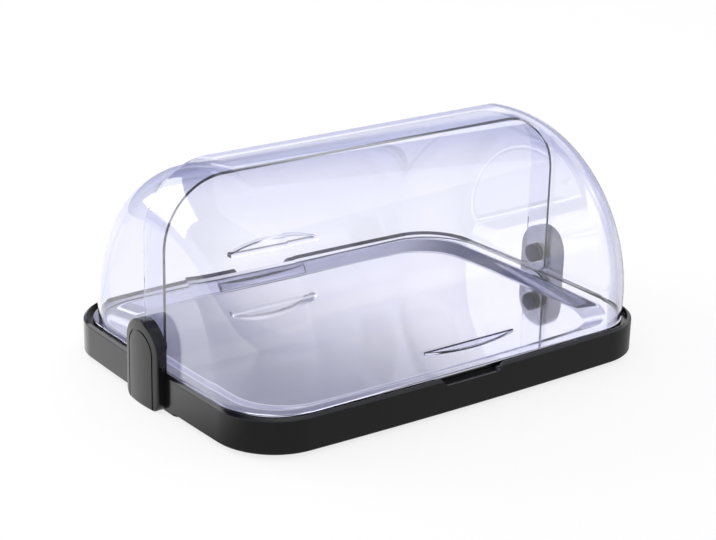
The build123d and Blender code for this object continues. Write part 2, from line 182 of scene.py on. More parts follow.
def add_node(tree: NodeTree, kind: str, inputs: dict | None = None, **settings: object) -> Node:
    """Adds one node with its settings, constants and incoming links.

    Args:
        tree: the node tree that the node joins.
        kind: the node's type name.
        inputs: input name or index to its constant, or to the socket or node that feeds it. A node feeds
            by its first live output.
        settings: the node's own properties.

    Returns:
        The new node.
    """
    node = tree.nodes.new(kind)
    for name, value in settings.items():
        setattr(node, name, value)
    for name, value in (inputs or {}).items():
        if isinstance(value, Node):
            value = next(socket for socket in value.outputs if socket.enabled)
        if isinstance(value, NodeSocket):
            tree.links.new(value, node.inputs[name])
        else:
            node.inputs[name].default_value = value
    return node


class Body(Enum):
    """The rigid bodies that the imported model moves."""

    BASE = "base"
    FRONT_COVER = "front_cover"
    REAR_COVER = "rear_cover"


class End(Enum):
    """The two ends of the display."""

    LEFT = "left"
    RIGHT = "right"


class Side(Enum):
    """The two long sides of the display, with the sign of Y on each."""

    FRONT = -1
    REAR = 1


class Cut(Enum):
    """How one solid works on another."""

    JOIN = "UNION"
    TAKE_AWAY = "DIFFERENCE"


@dataclass(frozen=True)
class Grain:
    """One noise pattern of a surface, and what it does there.

    Its length along X and its width across X are in millimetres. The spread is how far it moves the roughness
    to either side. The depth is how far it stands out, in millimetres, at a full strength of 1.
    """

    length: float
    width: float
    detail: float
    spread: float = 0.0
    depth: float = 0.0
    strength: float = 0.0

    def work(self, tree: NodeTree, shader: Node, roughness: float) -> None:
        """Adds the pattern to a material, where it moves the roughness or stands out of the surface.

        Args:
            tree: the material's tree.
            shader: its principled shader.
            roughness: its middle roughness.
        """
        where = add_node(tree, "ShaderNodeTexCoord").outputs["Object"]
        across = 1.0 / mm(self.width)
        stretch = add_node(
            tree, "ShaderNodeMapping", {"Vector": where, "Scale": (1.0 / mm(self.length), across, across)}
        )
        noise = add_node(tree, "ShaderNodeTexNoise", {"Vector": stretch, "Scale": 1.0, "Detail": self.detail})
        if self.spread > 0.0:
            ends = {"To Min": roughness - self.spread, "To Max": roughness + self.spread}
            gloss = add_node(
                tree, MAP_RANGE, {"Value": noise, "From Min": NOISE_LOW, "From Max": NOISE_HIGH, **ends}
            )
            tree.links.new(gloss.outputs["Result"], shader.inputs["Roughness"])
        if self.depth > 0.0:
            height = {"Height": noise, "Distance": mm(self.depth), "Strength": self.strength}
            bump = add_node(tree, "ShaderNodeBump", height)
            tree.links.new(bump.outputs["Normal"], shader.inputs["Normal"])


@dataclass(frozen=True)
class Finish:
    """A surface finish, and the record slot that it belongs to."""

    name: str
    slot: str
    colour: str
    roughness: float
    ior: float = 1.5

    def grains(self) -> tuple[Grain, ...]:
        """The surface's noise patterns."""
        return ()

    def tune(self, tree: NodeTree, shader: Node) -> None:
        """Sets what is special to the kind of finish."""

    def make(self) -> Material:
        """Builds the material.

        Returns:
            The finished material.
        """
        material = bpy.data.materials.new(self.name)
        tree = fresh_tree(material)
        shader = add_node(
            tree,
            "ShaderNodeBsdfPrincipled",
            {"Base Color": linear(self.colour), "Roughness": self.roughness, "IOR": self.ior},
        )
        add_node(tree, "ShaderNodeOutputMaterial", {"Surface": shader})
        self.tune(tree, shader)
        for grain in self.grains():
            grain.work(tree, shader, self.roughness)
        return material


@dataclass(frozen=True)
class MouldedPlastic(Finish):
    """Moulded plastic or rubber: an even colour, with a fine mould grain that breaks up the gloss.

    The grain is drawn coarser than the real one, which is near 0.1 mm, so that it shows.
    """

    grain: float = 1.1
    grain_depth: float = 0.012
    grain_strength: float = 0.4
    gloss_spread: float = 0.05

    def grains(self) -> tuple[Grain, ...]:
        """The mould grain."""
        size = (self.grain, self.grain, FINE_DETAIL)
        return (Grain(*size, self.gloss_spread, self.grain_depth, self.grain_strength),)


@dataclass(frozen=True)
class ClearPlastic(Finish):
    """Clear moulded sheet: high gloss, a lilac tint that deepens at a slant, and a faint drawn waviness."""

    deep_colour: str = "#e2e4fa"
    slant_blend: float = 0.5
    haze: float = 0.015
    wave: float = 70.0
    wave_depth: float = 0.03
    wave_strength: float = 0.3

    def grains(self) -> tuple[Grain, ...]:
        """The drawn waviness."""
        return (Grain(self.wave, self.wave, BROAD_DETAIL, 0.0, self.wave_depth, self.wave_strength),)

    def tune(self, tree: NodeTree, shader: Node) -> None:
        """Lets light through and tints it.

        Args:
            tree: the material's tree.
            shader: its principled shader.
        """
        shader.inputs["Transmission Weight"].default_value = 1.0 - self.haze
        slant = add_node(tree, "ShaderNodeLayerWeight", {"Blend": self.slant_blend}).outputs["Facing"]
        shades = {"A": linear(self.colour), "B": linear(self.deep_colour)}
        tint = add_node(tree, MIX, {"Factor": slant, **shades}, data_type="RGBA")
        tree.links.new(tint.outputs["Result"], shader.inputs["Base Color"])


@dataclass(frozen=True)
class Metal(Finish):
    """Bare or blackened metal, with fine finish lines along X and, where it is thin sheet, shallow dents.

    The lines are drawn coarser than the real ones, which are near 0.2 mm apart, so that they show.
    """

    line_pitch: float = 1.4
    line_length: float = 120.0
    gloss_spread: float = 0.03
    dent: float = 130.0
    dent_depth: float = 0.0
    dent_strength: float = 0.5

    def grains(self) -> tuple[Grain, ...]:
        """The finish lines, and the dents where the sheet has them.

        Returns:
            The patterns.
        """
        lines = Grain(self.line_length, self.line_pitch, FINE_DETAIL, self.gloss_spread)
        if self.dent_depth == 0.0:
            return (lines,)
        return lines, Grain(self.dent, self.dent, BROAD_DETAIL, 0.0, self.dent_depth, self.dent_strength)

    def tune(self, tree: NodeTree, shader: Node) -> None:
        """Makes the surface a metal."""
        shader.inputs["Metallic"].default_value = 1.0


# Black ABS, satin: spark-eroded mould faces give a soft, dark sheen
BASE_ABS = MouldedPlastic("black_abs_satin", "base_plastic", "#0e0e11", 0.17, grain_depth=0.006)
# Black ABS, smoother: a polished mould gives a clearer highlight
BRACKET_ABS = MouldedPlastic(
    "black_abs_semi_gloss", "bracket_plastic", "#121214", 0.2, 1.45, grain=1.4, grain_depth=0.003
)
# Rubber: dull and dark, with no clear highlight
FOOT_RUBBER = MouldedPlastic("black_rubber", "foot_rubber", "#141414", 0.7, grain=0.9)
# Polycarbonate: clear, high gloss, with a lilac tint that grows with every wall looked through
COVER_CLEAR = ClearPlastic("lilac_polycarbonate", "cover_plastic", "#fbfbff", 0.0, 1.585)
# Stainless steel sheet: buffed near to a mirror, with the shallow unevenness of a pressed floor
TRAY_STEEL = Metal("polished_stainless_steel", "tray_steel", "#e9e8ed", 0.065, dent_depth=0.2)
# Blackened steel: blue-black, with a soft highlight
PIN_STEEL = Metal("black_oxide_steel", "pin_metal", "#22263c", 0.2)
# Zinc-plated steel: pale grey, with an even, soft shine
ZINC_STEEL = Metal("zinc_plated_steel", "steel_fixings", "#b9babf", 0.3, line_pitch=0.8, line_length=0.8)
# Blow-moulded polyethylene: pale, waxy and dull
PACK_PE = MouldedPlastic("blow_moulded_polyethylene", "pack_shell", "#dbe2e8", 0.5, grain=2.0)
# Polypropylene: an even blue with a soft, slightly waxy shine
CAP_PP = MouldedPlastic("blue_polypropylene", "pack_closure", "#3a5484", 0.4)
# Natural nylon: cream and a little waxy
WASHER_NYLON = MouldedPlastic("natural_nylon", "washer_nylon", "#dedcd4", 0.4)

OUTER_FINISHES = (BASE_ABS, BRACKET_ABS, FOOT_RUBBER, COVER_CLEAR, TRAY_STEEL)
INNER_FINISHES = (PIN_STEEL, ZINC_STEEL, PACK_PE, CAP_PP, WASHER_NYLON)


@dataclass
class Workshop:
    """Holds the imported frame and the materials, and turns meshes into dressed pieces."""

    frame: dict
    materials: dict[str, Material] = field(default_factory=dict)

    def __post_init__(self) -> None:
        """Makes every finish once, under its record slot."""
        for finish in OUTER_FINISHES + INNER_FINISHES:
            self.materials[finish.slot] = finish.make()

    def slot_of(self, node: str) -> str:
        """Looks up the record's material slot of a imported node.

        Args:
            node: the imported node.

        Returns:
            The slot's name.
        """
        for part in self.frame["record"]["subparts"]:
            if part["node"] == node:
                return part["material_slot"]
        raise KeyError(node)

    def dress(self, item: Object, slot: str) -> None:
        """Gives an object the one material of its slot."""
        item.data.materials.clear()
        item.data.materials.append(self.materials[slot])

    def paint_node(self, node: str) -> None:
        """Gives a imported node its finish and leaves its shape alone."""
        self.dress(self.frame["nodes"][node], self.slot_of(node))
        log.info("%s: painted as packed", node)

    def stand_in(self, item: Object, node: str, body: Body) -> None:
        """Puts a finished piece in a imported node's place.

        Args:
            item: the finished piece.
            node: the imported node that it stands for.
            body: the body that both ride on.
        """
        slot = self.slot_of(node)
        self.dress(item, slot)
        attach(item, body.value)
        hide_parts(node)
        log.info("%s: %d faces", item.name, len(item.data.polygons))

    def new_piece(self, name: str, vertices: list, faces: list, edges: list | None = None) -> Object:
        """Links a new mesh object at the origin.

        Args:
            name: the piece's name.
            vertices: corner positions in metres.
            faces: tuples of corner numbers.
            edges: pairs of corner numbers, for a piece drawn as a line.

        Returns:
            The object.
        """
        mesh = bpy.data.meshes.new(name)
        mesh.from_pydata(vertices, edges or [], faces)
        return put_in_scene(name, mesh)

    def harden(self, item: Object) -> None:
        """Turns an object and its modifiers into one plain mesh.

        Args:
            item: the object.
        """
        bpy.context.view_layer.update()
        graph = bpy.context.evaluated_depsgraph_get()
        mesh = bpy.data.meshes.new_from_object(item.evaluated_get(graph))
        item.modifiers.clear()
        item.data = mesh

    def clean(self, mesh: Mesh, outwards: bool) -> None:
        """Merges doubled corners.

        Args:
            mesh: the mesh.
            outwards: whether every face is turned outwards too.
        """
        work = bmesh.new()
        work.from_mesh(mesh)
        bmesh.ops.remove_doubles(work, verts=work.verts, dist=mm(MERGE_DISTANCE))
        if outwards:
            bmesh.ops.recalc_face_normals(work, faces=work.faces)
        work.to_mesh(mesh)
        work.free()

    def carve(self, item: Object, tool: Object, cut: Cut) -> None:
        """Joins a tool solid to a piece or takes it away, and removes the tool.

        Args:
            item: the piece.
            tool: the solid that works on it.
            cut: whether to join or to take away.
        """
        self.clean(tool.data, outwards=True)
        step = item.modifiers.new("carve", "BOOLEAN")
        step.object = tool
        step.operation = cut.value
        step.solver = "EXACT"
        self.harden(item)
        bpy.data.objects.remove(tool)

    def polish(self, item: Object, angle: float) -> None:
        """Smooths the curved faces.

        Args:
            item: the piece.
            angle: edges sharper than this, in degrees, stay sharp.
        """
        work = bmesh.new()
        work.from_mesh(item.data)
        for face in work.faces:
            face.smooth = True
        for edge in work.edges:
            edge.smooth = edge.calc_face_angle(math.pi) < math.radians(angle)
        work.to_mesh(item.data)
        work.free()
        weigh = item.modifiers.new("even_shading", "WEIGHTED_NORMAL")
        weigh.keep_sharp = True

    def smooth_copy(self, node: str, name: str, body: Body, angle: float = 32.0) -> Object:
        """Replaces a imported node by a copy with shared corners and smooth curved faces.

        Args:
            node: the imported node.
            name: the new piece's name.
            body: the body that it rides on.
            angle: edges sharper than this, in degrees, stay sharp.

        Returns:
            The new piece.
        """
        mesh = self.frame["nodes"][node].data.copy()
        mesh.name = name
        self.clean(mesh, outwards=False)
        item = put_in_scene(name, mesh)
        self.polish(item, angle)
        self.stand_in(item, node, body)
        return item


@dataclass(frozen=True)
class BowedPlan:
    """The base's plan: four gently bowed sides with rounded corners, drawn in by an inset where asked."""

    length: float = 440.0
    width: float = 322.0
    long_side_bow: float = 5.0
    short_side_bow: float = 3.7
    corner_radius: float = 56.0
    side_steps: int = 22
    corner_steps: int = 18

    def side_centres(self, inset: float) -> tuple[Vector, float, Vector, float]:
        """Where the bowed sides of one quarter are struck from.

        Args:
            inset: distance in from the outline.

        Returns:
            The long side's centre and radius, then the short side's.
        """
        half_x = self.length / 2 - inset
        half_y = self.width / 2 - inset
        long_radius = self.bow_radius(half_x - self.short_side_bow, self.long_side_bow)
        short_radius = self.bow_radius(half_y - self.long_side_bow, self.short_side_bow)
        long_centre = Vector((0.0, half_y - long_radius))
        short_centre = Vector((half_x - short_radius, 0.0))
        return long_centre, long_radius, short_centre, short_radius

    def bow_radius(self, half_chord: float, rise: float) -> float:
        """The radius of a bowed side from half its chord and its rise."""
        return (half_chord**2 + rise**2) / (2 * rise)

    def bearing(self, middle: Vector, point: Vector) -> float:
        """The angle from X at which a point lies from a centre."""
        return math.atan2((point - middle).y, (point - middle).x)

    def corner_arc(self, inset: float, radius: float) -> tuple[Vector, float, float]:
        """Where a corner arc of the plan lies, in the quarter with X and Y above zero.

        Args:
            inset: distance in from the base's outline.
            radius: the corner's own radius.

        Returns:
            The arc's centre, and the angles at which it leaves the short side and meets the long side.
        """
        long_centre, long_radius, short_centre, short_radius = self.side_centres(inset)
        apart = (long_centre - short_centre).length
        reach_long = long_radius - radius
        reach_short = short_radius - radius
        along = (reach_long**2 - reach_short**2 + apart**2) / (2 * apart)
        across = math.sqrt(reach_long**2 - along**2)
        towards = (short_centre - long_centre) / apart
        sideways = Vector((-towards.y, towards.x))
        centre = long_centre + along * towards + across * sideways
        if centre.x < 0 or centre.y < 0:
            centre = long_centre + along * towards - across * sideways
        return centre, self.bearing(short_centre, centre), self.bearing(long_centre, centre)

    def ring(self, inset: float, radius: float) -> list[tuple[float, float]]:
        """One closed turn of the plan, with the same number of points at every inset.

        Args:
            inset: distance in from the base's outline.
            radius: the corner radius.

        Returns:
            The points, in millimetres, anticlockwise from the middle of the right end.
        """
        long_centre, long_radius, short_centre, short_radius = self.side_centres(inset)
        centre, first, last = self.corner_arc(inset, radius)
        quarter = []
        for middle, reach, angles in (
            (short_centre, short_radius, spaced(0.0, first, self.side_steps)[:-1]),
            (centre, radius, spaced(first, last, self.corner_steps)[:-1]),
            (long_centre, long_radius, spaced(last, math.pi / 2, self.side_steps)),
        ):
            quarter += [(middle.x + reach * math.cos(a), middle.y + reach * math.sin(a)) for a in angles]
        back = [(-x, y) for x, y in reversed(quarter[:-1])]
        upper = quarter + back
        lower = [(x, -y) for x, y in reversed(upper[1:-1])]
        return upper + lower

    def outward(self, x: float, y: float) -> tuple[Vector, float]:
        """Which way the outline faces beside a point, and how far in from it the point lies.

        Args:
            x: the point's X in millimetres.
            y: the point's Y in millimetres.

        Returns:
            The outward direction as a unit vector, and the inset.
        """
        point = Vector((abs(x), abs(y)))
        long_centre, long_radius, short_centre, short_radius = self.side_centres(0.0)
        centre, first, last = self.corner_arc(0.0, self.corner_radius)
        arm = point - centre
        reach = self.corner_radius
        if self.bearing(short_centre, point) < first:
            arm = point - short_centre
            reach = short_radius
        elif self.bearing(long_centre, point) > last:
            arm = point - long_centre
            reach = long_radius
        way = arm.normalized()
        return Vector((math.copysign(way.x, x), math.copysign(way.y, y))), reach - arm.length


@dataclass
class BaseUnit:
    """The black base with its feet, brackets, pins and the packs that lie inside it.

    The shading is evened as far in as the rim's width. It leaves out a corner whose direction has a level
    part under the level limit, or a cosine to the outline's own direction under the along-rim value.
    """

    shop: Workshop
    plan: BowedPlan = BowedPlan()
    rim_width: float = 12.5
    along_rim: float = 0.97
    level_limit: float = 0.02
    feet: tuple[str, ...] = ("front_left", "front_right", "rear_left", "rear_right")
    brackets: tuple[str, ...] = ("bracket_body", "bracket_cap", "pivot_pin")
    bracket_pieces: tuple[str, ...] = ("bracket_upright", "bracket_cover", "pin")
    packs: tuple[str, ...] = ("thermal_pack", "pack_cap")
    fixings: tuple[str, ...] = ("head_washer", "middle_washer", "pivot_spacer", "pivot_nut", "bracket_screws")

    def make(self) -> None:
        """Dresses every piece of the base."""
        self.even_rim(self.shop.smooth_copy("base_shell", "base_moulding", Body.BASE))
        for foot in self.feet:
            self.shop.smooth_copy(f"foot_{foot}", f"foot_{foot}_rubber", Body.BASE)
        for end in End:
            self.make_end(end)

    def even_rim(self, item: Object) -> None:
        """Shades the walls and the rim by the plan's own curve, since their long facets shade unevenly.

        Args:
            item: the base's moulding.
        """
        self.shop.harden(item)
        mesh = item.data
        facing = []
        for corner, loop in zip(mesh.corner_normals, mesh.loops):
            normal = corner.vector.copy()
            place = mesh.vertices[loop.vertex_index].co
            way, inset = self.plan.outward(place.x * MM_PER_METRE, place.y * MM_PER_METRE)
            level = normal.xy
            if level.length > self.level_limit and inset < self.rim_width:
                turn = level.normalized().dot(way)
                if abs(turn) > self.along_rim:
                    level = math.copysign(level.length, turn) * way
                    normal = Vector((level.x, level.y, normal.z))
            facing.append(normal.normalized())
        mesh.normals_split_custom_set(facing)

    def make_end(self, end: End) -> None:
        """Dresses the pieces at one end.

        Args:
            end: which end, whose name closes the names of the nodes there.
        """
        for node, piece in zip(self.brackets, self.bracket_pieces):
            self.shop.smooth_copy(f"{node}_{end.value}", f"{piece}_{end.value}", Body.BASE)
        for node in self.packs + self.fixings:
            self.shop.paint_node(f"{node}_{end.value}")


@dataclass
class SteelTray:
    """The pressed steel tray: a broad flat rim, a sloping wall, a flat floor and a turned-down hem.

    On the floor a ring's corner radius falls by the radius loss for each millimetre further in, down to the
    least radius.
    """

    shop: Workshop
    plan: BowedPlan = BowedPlan()
    rim_height: float = 33.5
    sheet: float = 0.8
    hem_height: float = 1.6
    hem_round: float = 0.7
    edge_inset: float = 8.5
    edge_radius: float = 47.5
    basin_inset: float = 19.8
    basin_radius: float = 44.0
    floor_inset: float = 33.5
    floor_radius: float = 50.0
    radius_loss: float = 0.45
    least_radius: float = 8.0
    depth: float = 7.0
    top_round: float = 6.0
    floor_round: float = 8.0
    round_steps: int = 6
    floor_rings: tuple[float, ...] = (60.0, 95.0, 125.0)
    sharp_angle: float = 40.0

    def section(self) -> list[tuple[float, float]]:
        """Draws the sheet's upper face from the hem to the floor.

        Returns:
            Insets and heights in millimetres.
        """
        top = self.rim_height
        floor = top - self.depth
        slope = math.atan2(self.depth, self.floor_inset - self.basin_inset)
        flat_end = self.basin_inset - self.top_round * math.tan(slope / 2)
        flat_start = self.floor_inset + self.floor_round * math.tan(slope / 2)
        points = [(self.edge_inset, top - self.hem_height)]
        for angle in spaced(0.0, math.pi / 2, self.round_steps):
            inset = self.edge_inset + self.hem_round * (1 - math.cos(angle))
            points.append((inset, top - self.hem_round * (1 - math.sin(angle))))
        points.append(((points[-1][0] + flat_end) / 2, top))
        for angle in spaced(0.0, slope, self.round_steps):
            inset = flat_end + self.top_round * math.sin(angle)
            points.append((inset, top - self.top_round * (1 - math.cos(angle))))
        for angle in spaced(slope, 0.0, self.round_steps):
            inset = flat_start - self.floor_round * math.sin(angle)
            points.append((inset, floor + self.floor_round * (1 - math.cos(angle))))
        return points + [(inset, floor) for inset in self.floor_rings]

    def corner_radius(self, inset: float) -> float:
        """Works out a ring's corner radius: even between the stated ones, and smaller on the floor.

        Args:
            inset: the ring's distance in from the outline.

        Returns:
            The radius.
        """
        if inset <= self.basin_inset:
            share = (inset - self.edge_inset) / (self.basin_inset - self.edge_inset)
            return self.edge_radius + share * (self.basin_radius - self.edge_radius)
        share = min(1.0, (inset - self.basin_inset) / (self.floor_inset - self.basin_inset))
        radius = self.basin_radius + share * (self.floor_radius - self.basin_radius)
        return max(self.least_radius, radius - max(0.0, inset - self.floor_inset) * self.radius_loss)

    def make(self) -> None:
        """Builds the sheet from nested rings of the plan and gives it its thickness."""
        section = self.section()
        vertices = []
        for inset, height in section:
            for x, y in self.plan.ring(inset, self.corner_radius(inset)):
                vertices.append((mm(x), mm(y), mm(height)))
        count = len(vertices) // len(section)
        faces = band(len(section), count)
        faces.append(tuple(range(len(vertices) - count, len(vertices))))
        tray = self.shop.new_piece("steel_tray", vertices, faces)
        thicken = tray.modifiers.new("sheet", "SOLIDIFY")
        thicken.thickness = mm(self.sheet)
        thicken.offset = INWARDS
        self.shop.harden(tray)
        self.shop.polish(tray, self.sharp_angle)
        self.shop.stand_in(tray, "tray", Body.BASE)


@dataclass
class SkinTree:
    """The node tree that turns a cover's outline about the pivot axis into its skin.

    Corners nearer than the seam are joined. An ear keeps the points up to the margin past its radius. The
    least cosine keeps the reach of its straight cut finite right below the axis.
    """

    seam: float = 0.005
    ear_margin: float = 0.01
    least_cosine: float = 0.01
    tree: NodeTree = field(init=False)
    given: NodeOutputs = field(init=False)

    def __post_init__(self) -> None:
        """Builds the tree with its named inputs, up to one real mesh with its material."""
        self.tree = bpy.data.node_groups.new("roll_surface", "GeometryNodeTree")
        face = self.tree.interface
        face.new_socket(name="Outline", in_out="INPUT", socket_type="NodeSocketGeometry")
        for name in ("Pivot Height", "Ear Radius", "Overlap", "Bore Radius", "Side"):
            face.new_socket(name=name, in_out="INPUT", socket_type="NodeSocketFloat")
        for name in ("Columns", "Ear Columns"):
            face.new_socket(name=name, in_out="INPUT", socket_type="NodeSocketInt")
        face.new_socket(name="Finish", in_out="INPUT", socket_type="NodeSocketMaterial")
        face.new_socket(name="Skin", in_out="OUTPUT", socket_type="NodeSocketGeometry")
        self.given = add_node(self.tree, "NodeGroupInput").outputs
        body = self.add_body()
        ear = self.add_ear()
        join = add_node(self.tree, "GeometryNodeJoinGeometry", {0: body})
        self.tree.links.new(ear.outputs[0], join.inputs[0])
        merge = add_node(
            self.tree, "GeometryNodeMergeByDistance", {"Geometry": join, "Distance": mm(self.seam)}
        )
        real = add_node(self.tree, "GeometryNodeRealizeInstances", {"Geometry": merge})
        dressed = add_node(
            self.tree, "GeometryNodeSetMaterial", {"Geometry": real, "Material": self.given["Finish"]}
        )
        add_node(self.tree, "NodeGroupOutput", {"Skin": dressed})

    def add_sheet(self, columns: NodeSocket) -> tuple[Node, ...]:
        """Adds a flat grid whose rows are the outline's points.

        Args:
            columns: how many columns the grid has.

        Returns:
            The grid, how far along its columns a point lies, and the outline's X and distance to the axis.
        """
        tree = self.tree
        outline = self.given["Outline"]
        size = add_node(tree, "GeometryNodeAttributeDomainSize", {"Geometry": outline}, component="MESH")
        count = size.outputs["Point Count"]
        last = add_node(tree, MATH, {0: count, 1: 1.0}, operation="SUBTRACT")
        grid = add_node(
            tree,
            "GeometryNodeMeshGrid",
            {"Size X": last, "Size Y": 1.0, "Vertices X": count, "Vertices Y": columns},
        )
        place = add_node(tree, "GeometryNodeInputPosition")
        flat = add_node(tree, "ShaderNodeSeparateXYZ", {0: place}).outputs
        half = add_node(tree, MATH, {0: last, 1: 0.5}, operation="MULTIPLY")
        row = add_node(tree, MATH, {0: flat["X"], 1: half}, operation="ADD")
        whole = add_node(tree, MATH, {0: row}, operation="ROUND")
        along = add_node(tree, MATH, {0: flat["Y"], 1: 0.5}, operation="ADD")
        drawn = add_node(
            tree, "GeometryNodeSampleIndex", {0: outline, 1: place, 2: whole}, data_type="FLOAT_VECTOR"
        )
        point = add_node(tree, "ShaderNodeSeparateXYZ", {0: drawn}).outputs
        return grid, along, point["X"], point["Y"]

    def add_turn(self, sheet: Node, x: NodeSocket, reach: NodeSocket | Node, angle: Node) -> Node:
        """Adds the turn of a grid's points about the pivot axis.

        Args:
            sheet: the grid.
            x: each point's X.
            reach: each point's distance to the axis.
            angle: how far each point is turned up from the level.

        Returns:
            The turned grid.
        """
        tree = self.tree
        side = add_node(tree, MATH, {0: reach, 1: self.given["Side"]}, operation="MULTIPLY")
        level = add_node(tree, "ShaderNodeCombineXYZ", {"X": x, "Y": side})
        signed = add_node(tree, MATH, {0: angle, 1: self.given["Side"]}, operation="MULTIPLY")
        turned = add_node(
            tree, "ShaderNodeVectorRotate", {"Vector": level, "Angle": signed}, rotation_type="X_AXIS"
        )
        lift = add_node(tree, "ShaderNodeCombineXYZ", {"Z": self.given["Pivot Height"]})
        return add_node(
            tree, "GeometryNodeSetPosition", {"Geometry": sheet, "Position": turned, "Offset": lift}
        )

    def add_body(self) -> Node:
        """Adds the skin from the level rim up and over to the overlap edge.

        Returns:
            The skin without the ears' far halves.
        """
        tree = self.tree
        sheet, along, x, reach = self.add_sheet(self.given["Columns"])
        drop = add_node(tree, MATH, {0: self.given["Ear Radius"], 1: reach}, operation="DIVIDE")
        capped = add_node(tree, MATH, {0: drop, 1: 1.0}, operation="MINIMUM")
        sunk = add_node(tree, MATH, {0: capped}, operation="ARCSINE")
        first = add_node(tree, MATH, {0: sunk, 1: -1.0}, operation="MULTIPLY")
        last = self.add_far_angle(reach)
        angle = add_node(tree, MAP_RANGE, {"Value": along, "To Min": first, "To Max": last})
        return self.add_turn(sheet, x, reach, angle)

    def add_far_angle(self, reach: NodeSocket) -> Node:
        """Adds the angle at which a point meets the overlap edge.

        Args:
            reach: the point's distance to the axis.

        Returns:
            The angle.
        """
        tree = self.tree
        outside = add_node(tree, MATH, {0: reach, 1: self.given["Ear Radius"]}, operation="MAXIMUM")
        share = add_node(tree, MATH, {0: self.given["Overlap"], 1: outside}, operation="DIVIDE")
        past = add_node(tree, MATH, {0: share}, operation="ARCSINE")
        return add_node(tree, MATH, {0: past, 1: math.pi / 2}, operation="ADD")

    def add_ear(self) -> Node:
        """Adds the far halves of the ears about the pivots, cut straight at the overlap edge.

        Returns:
            The two ear halves.
        """
        tree = self.tree
        bore = self.given["Bore Radius"]
        ear = self.given["Ear Radius"]
        sheet, along, x, reach = self.add_sheet(self.given["Ear Columns"])
        limit = add_node(tree, MATH, {0: ear, 1: mm(self.ear_margin)}, operation="ADD")
        beyond = add_node(tree, MATH, {0: reach, 1: limit}, operation="GREATER_THAN")
        kept = add_node(
            tree, "GeometryNodeDeleteGeometry", {"Geometry": sheet, "Selection": beyond}, domain="POINT"
        )
        first = self.add_far_angle(ear)
        angle = add_node(tree, MAP_RANGE, {"Value": along, "To Min": first, "To Max": 1.5 * math.pi})
        cosine = add_node(tree, MATH, {0: angle}, operation="COSINE")
        away = add_node(tree, MATH, {0: cosine, 1: -1.0}, operation="MULTIPLY")
        safe = add_node(tree, MATH, {0: away, 1: self.least_cosine}, operation="MAXIMUM")
        straight = add_node(tree, MATH, {0: self.given["Overlap"], 1: safe}, operation="DIVIDE")
        edge = add_node(tree, MATH, {0: straight, 1: ear}, operation="MINIMUM")
        drawn_in = add_node(
            tree,
            MAP_RANGE,
            {"Value": reach, "From Min": bore, "From Max": ear, "To Min": bore, "To Max": edge},
        )
        return self.add_turn(kept, x, drawn_in, angle)


@dataclass(frozen=True)
class RollSurface:
    """The rule of a cover's skin: an outline turned about the pivot axis from its rim to its edge."""

    pivot_height: float = 51.5
    ear_radius: float = 17.6
    overlap: float = 14.0
    bore_radius: float = 4.05
    columns: int = 97
    ear_columns: int = 29

    def apply(self, item: Object, side: Side, finish: Material) -> None:
        """Puts the skin's tree on an outline object and sets its inputs.

        Args:
            item: the outline, as a line of points at their X and distance to the axis.
            side: which way the cover faces.
            finish: the material of the skin.
        """
        values = {
            "Pivot Height": mm(self.pivot_height),
            "Ear Radius": mm(self.ear_radius),
            "Overlap": mm(self.overlap),
            "Bore Radius": mm(self.bore_radius),
            "Side": float(side.value),
            "Columns": self.columns,
            "Ear Columns": self.ear_columns,
            "Finish": finish,
        }
        step = item.modifiers.new("roll_surface", "NODES")
        step.node_group = SkinTree().tree
        for socket in step.node_group.interface.items_tree:
            if socket.in_out == "INPUT" and socket.name in values:
                step[socket.identifier] = values[socket.name]


@dataclass
class RollCover:
    """A clear cover: a thin shell that rolls about the pivot axis."""

    shop: Workshop
    node: str
    piece: str
    body: Body
    side: Side
    radius: float
    half_length: float
    end_radius: float
    wall: float = 2.5
    edge_bevel: float = 0.35
    bevel_segments: int = 2
    bevel_angle: float = 60.0
    sharp_angle: float = 38.0
    corner_steps: int = 26
    roof_steps: int = 10
    panel_rows: tuple[float, ...] = (9.0, 13.0, 17.6, 32.0, 52.0, 72.0)
    rule: RollSurface = RollSurface()

    def outline(self) -> list[tuple[float, float]]:
        """Draws the cover's half section, from the right bore to the left one.

        Returns:
            Each point's X and distance to the axis.
        """
        shoulder = self.radius - self.end_radius
        run = self.half_length - self.end_radius
        right = [(self.half_length, reach) for reach in (self.rule.bore_radius, *self.panel_rows)]
        for angle in spaced(0.0, math.pi / 2, self.corner_steps):
            x = run + self.end_radius * math.cos(angle)
            right.append((x, shoulder + self.end_radius * math.sin(angle)))
        roof = [(x, self.radius) for x in spaced(run, -run, self.roof_steps)[1:-1]]
        left = [(-x, reach) for x, reach in reversed(right)]
        return right + roof + left

    def shell(self) -> Object:
        """Builds the plain shell.

        Returns:
            The shell as one closed mesh.
        """
        points = [(mm(x), mm(reach), 0.0) for x, reach in self.outline()]
        edges = [(number, number + 1) for number in range(len(points) - 1)]
        item = self.shop.new_piece(self.piece, points, [], edges)
        self.rule.apply(item, self.side, self.shop.materials[COVER_CLEAR.slot])
        self.shop.harden(item)
        self.shop.clean(item.data, outwards=True)
        thicken = item.modifiers.new("wall", "SOLIDIFY")
        thicken.thickness = mm(self.wall)
        thicken.offset = INWARDS
        thicken.use_even_offset = True
        soften = item.modifiers.new("edges", "BEVEL")
        soften.width = mm(self.edge_bevel)
        soften.segments = self.bevel_segments
        soften.limit_method = "ANGLE"
        soften.angle_limit = math.radians(self.bevel_angle)
        soften.harden_normals = False
        self.shop.harden(item)
        return item

    def wall_distance(self, height: float) -> float:
        """How far from the middle the outside of the cover is at a height, in millimetres."""
        return math.sqrt(self.radius**2 - (height - self.rule.pivot_height) ** 2)

    def finish(self, item: Object) -> None:
        """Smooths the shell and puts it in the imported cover's place."""
        self.shop.polish(item, self.sharp_angle)
        self.shop.stand_in(item, self.node, self.body)


